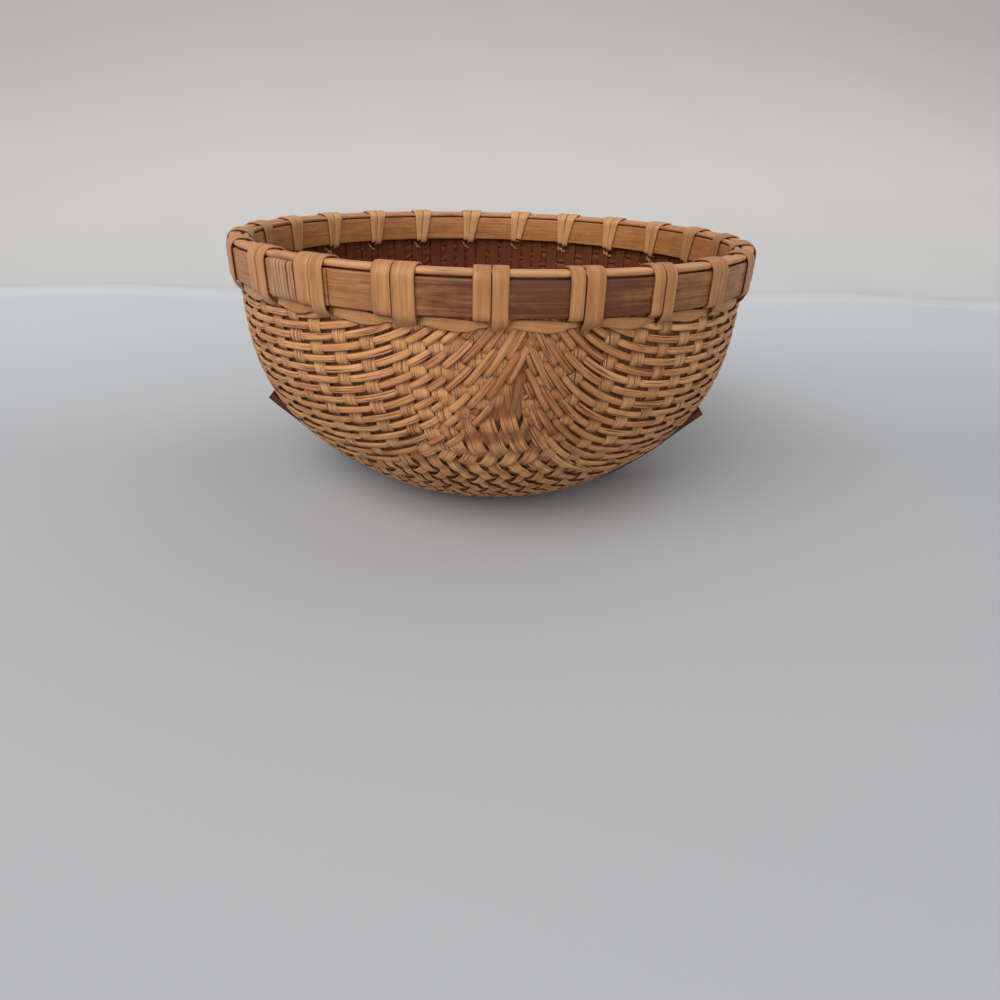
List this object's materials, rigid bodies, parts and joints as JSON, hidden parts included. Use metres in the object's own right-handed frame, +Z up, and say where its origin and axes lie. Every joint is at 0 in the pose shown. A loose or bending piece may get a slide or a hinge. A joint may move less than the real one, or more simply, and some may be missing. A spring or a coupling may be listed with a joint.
{
  "type": "woven bamboo basket",
  "caption": "Round shallow bamboo basket: a plaited bowl gripped between two bent hoops, with a strap-lashed rim and two flat slats under the base.",
  "frame": {"origin": "on the floor below the centre of the bowl, in the plane of the slats' undersides", "axes": "+Z up through the open mouth; -Y towards the front, where the weavers gather to the larger fan; the base slats run along X"},
  "size_m": [0.2219, 0.2218, 0.1069],
  "materials": {
    "weave": "bare split bamboo, satin, warm tan with brown shadows",
    "stake": "bare split bamboo, satin, tan",
    "outer_hoop": "smoked bamboo skin, glossy, dark brown",
    "inner_hoop": "bamboo skin, satin, honey brown",
    "strap": "bamboo skin, satin, pale straw",
    "slat": "smoked bamboo, satin, dark red brown"
  },
  "bodies": {
    "root": {"woven_mat": "weave", "rising_right_01": "stake", "rising_right_02": "stake", "rising_right_03": "stake", "rising_right_04": "stake", "rising_right_05": "stake", "rising_right_06": "stake", "rising_right_07": "stake", "rising_right_08": "stake", "rising_right_09": "stake", "rising_right_10": "stake", "rising_right_11": "stake", "rising_right_12": "stake", "rising_right_13": "stake", "rising_right_14": "stake", "rising_right_15": "stake", "rising_right_16": "stake", "rising_right_17": "stake", "rising_right_18": "stake", "rising_right_19": "stake", "rising_left_01": "stake", "rising_left_02": "stake", "rising_left_03": "stake", "rising_left_04": "stake", "rising_left_05": "stake", "rising_left_06": "stake", "rising_left_07": "stake", "rising_left_08": "stake", "rising_left_09": "stake", "rising_left_10": "stake", "rising_left_11": "stake", "rising_left_12": "stake", "rising_left_13": "stake", "rising_left_14": "stake", "rising_left_15": "stake", "rising_left_16": "stake", "rising_left_17": "stake", "rising_left_18": "stake", "rising_left_19": "stake", "outer_hoop": "outer_hoop", "inner_hoop": "inner_hoop", "outer_splint": "strap", "inner_splint": "strap", "lashing_1": "strap", "lashing_2": "strap", "lashing_3": "strap", "joint_winding": "weave", "front_slat": "slat", "back_slat": "slat"}
  },
  "joints": []
}
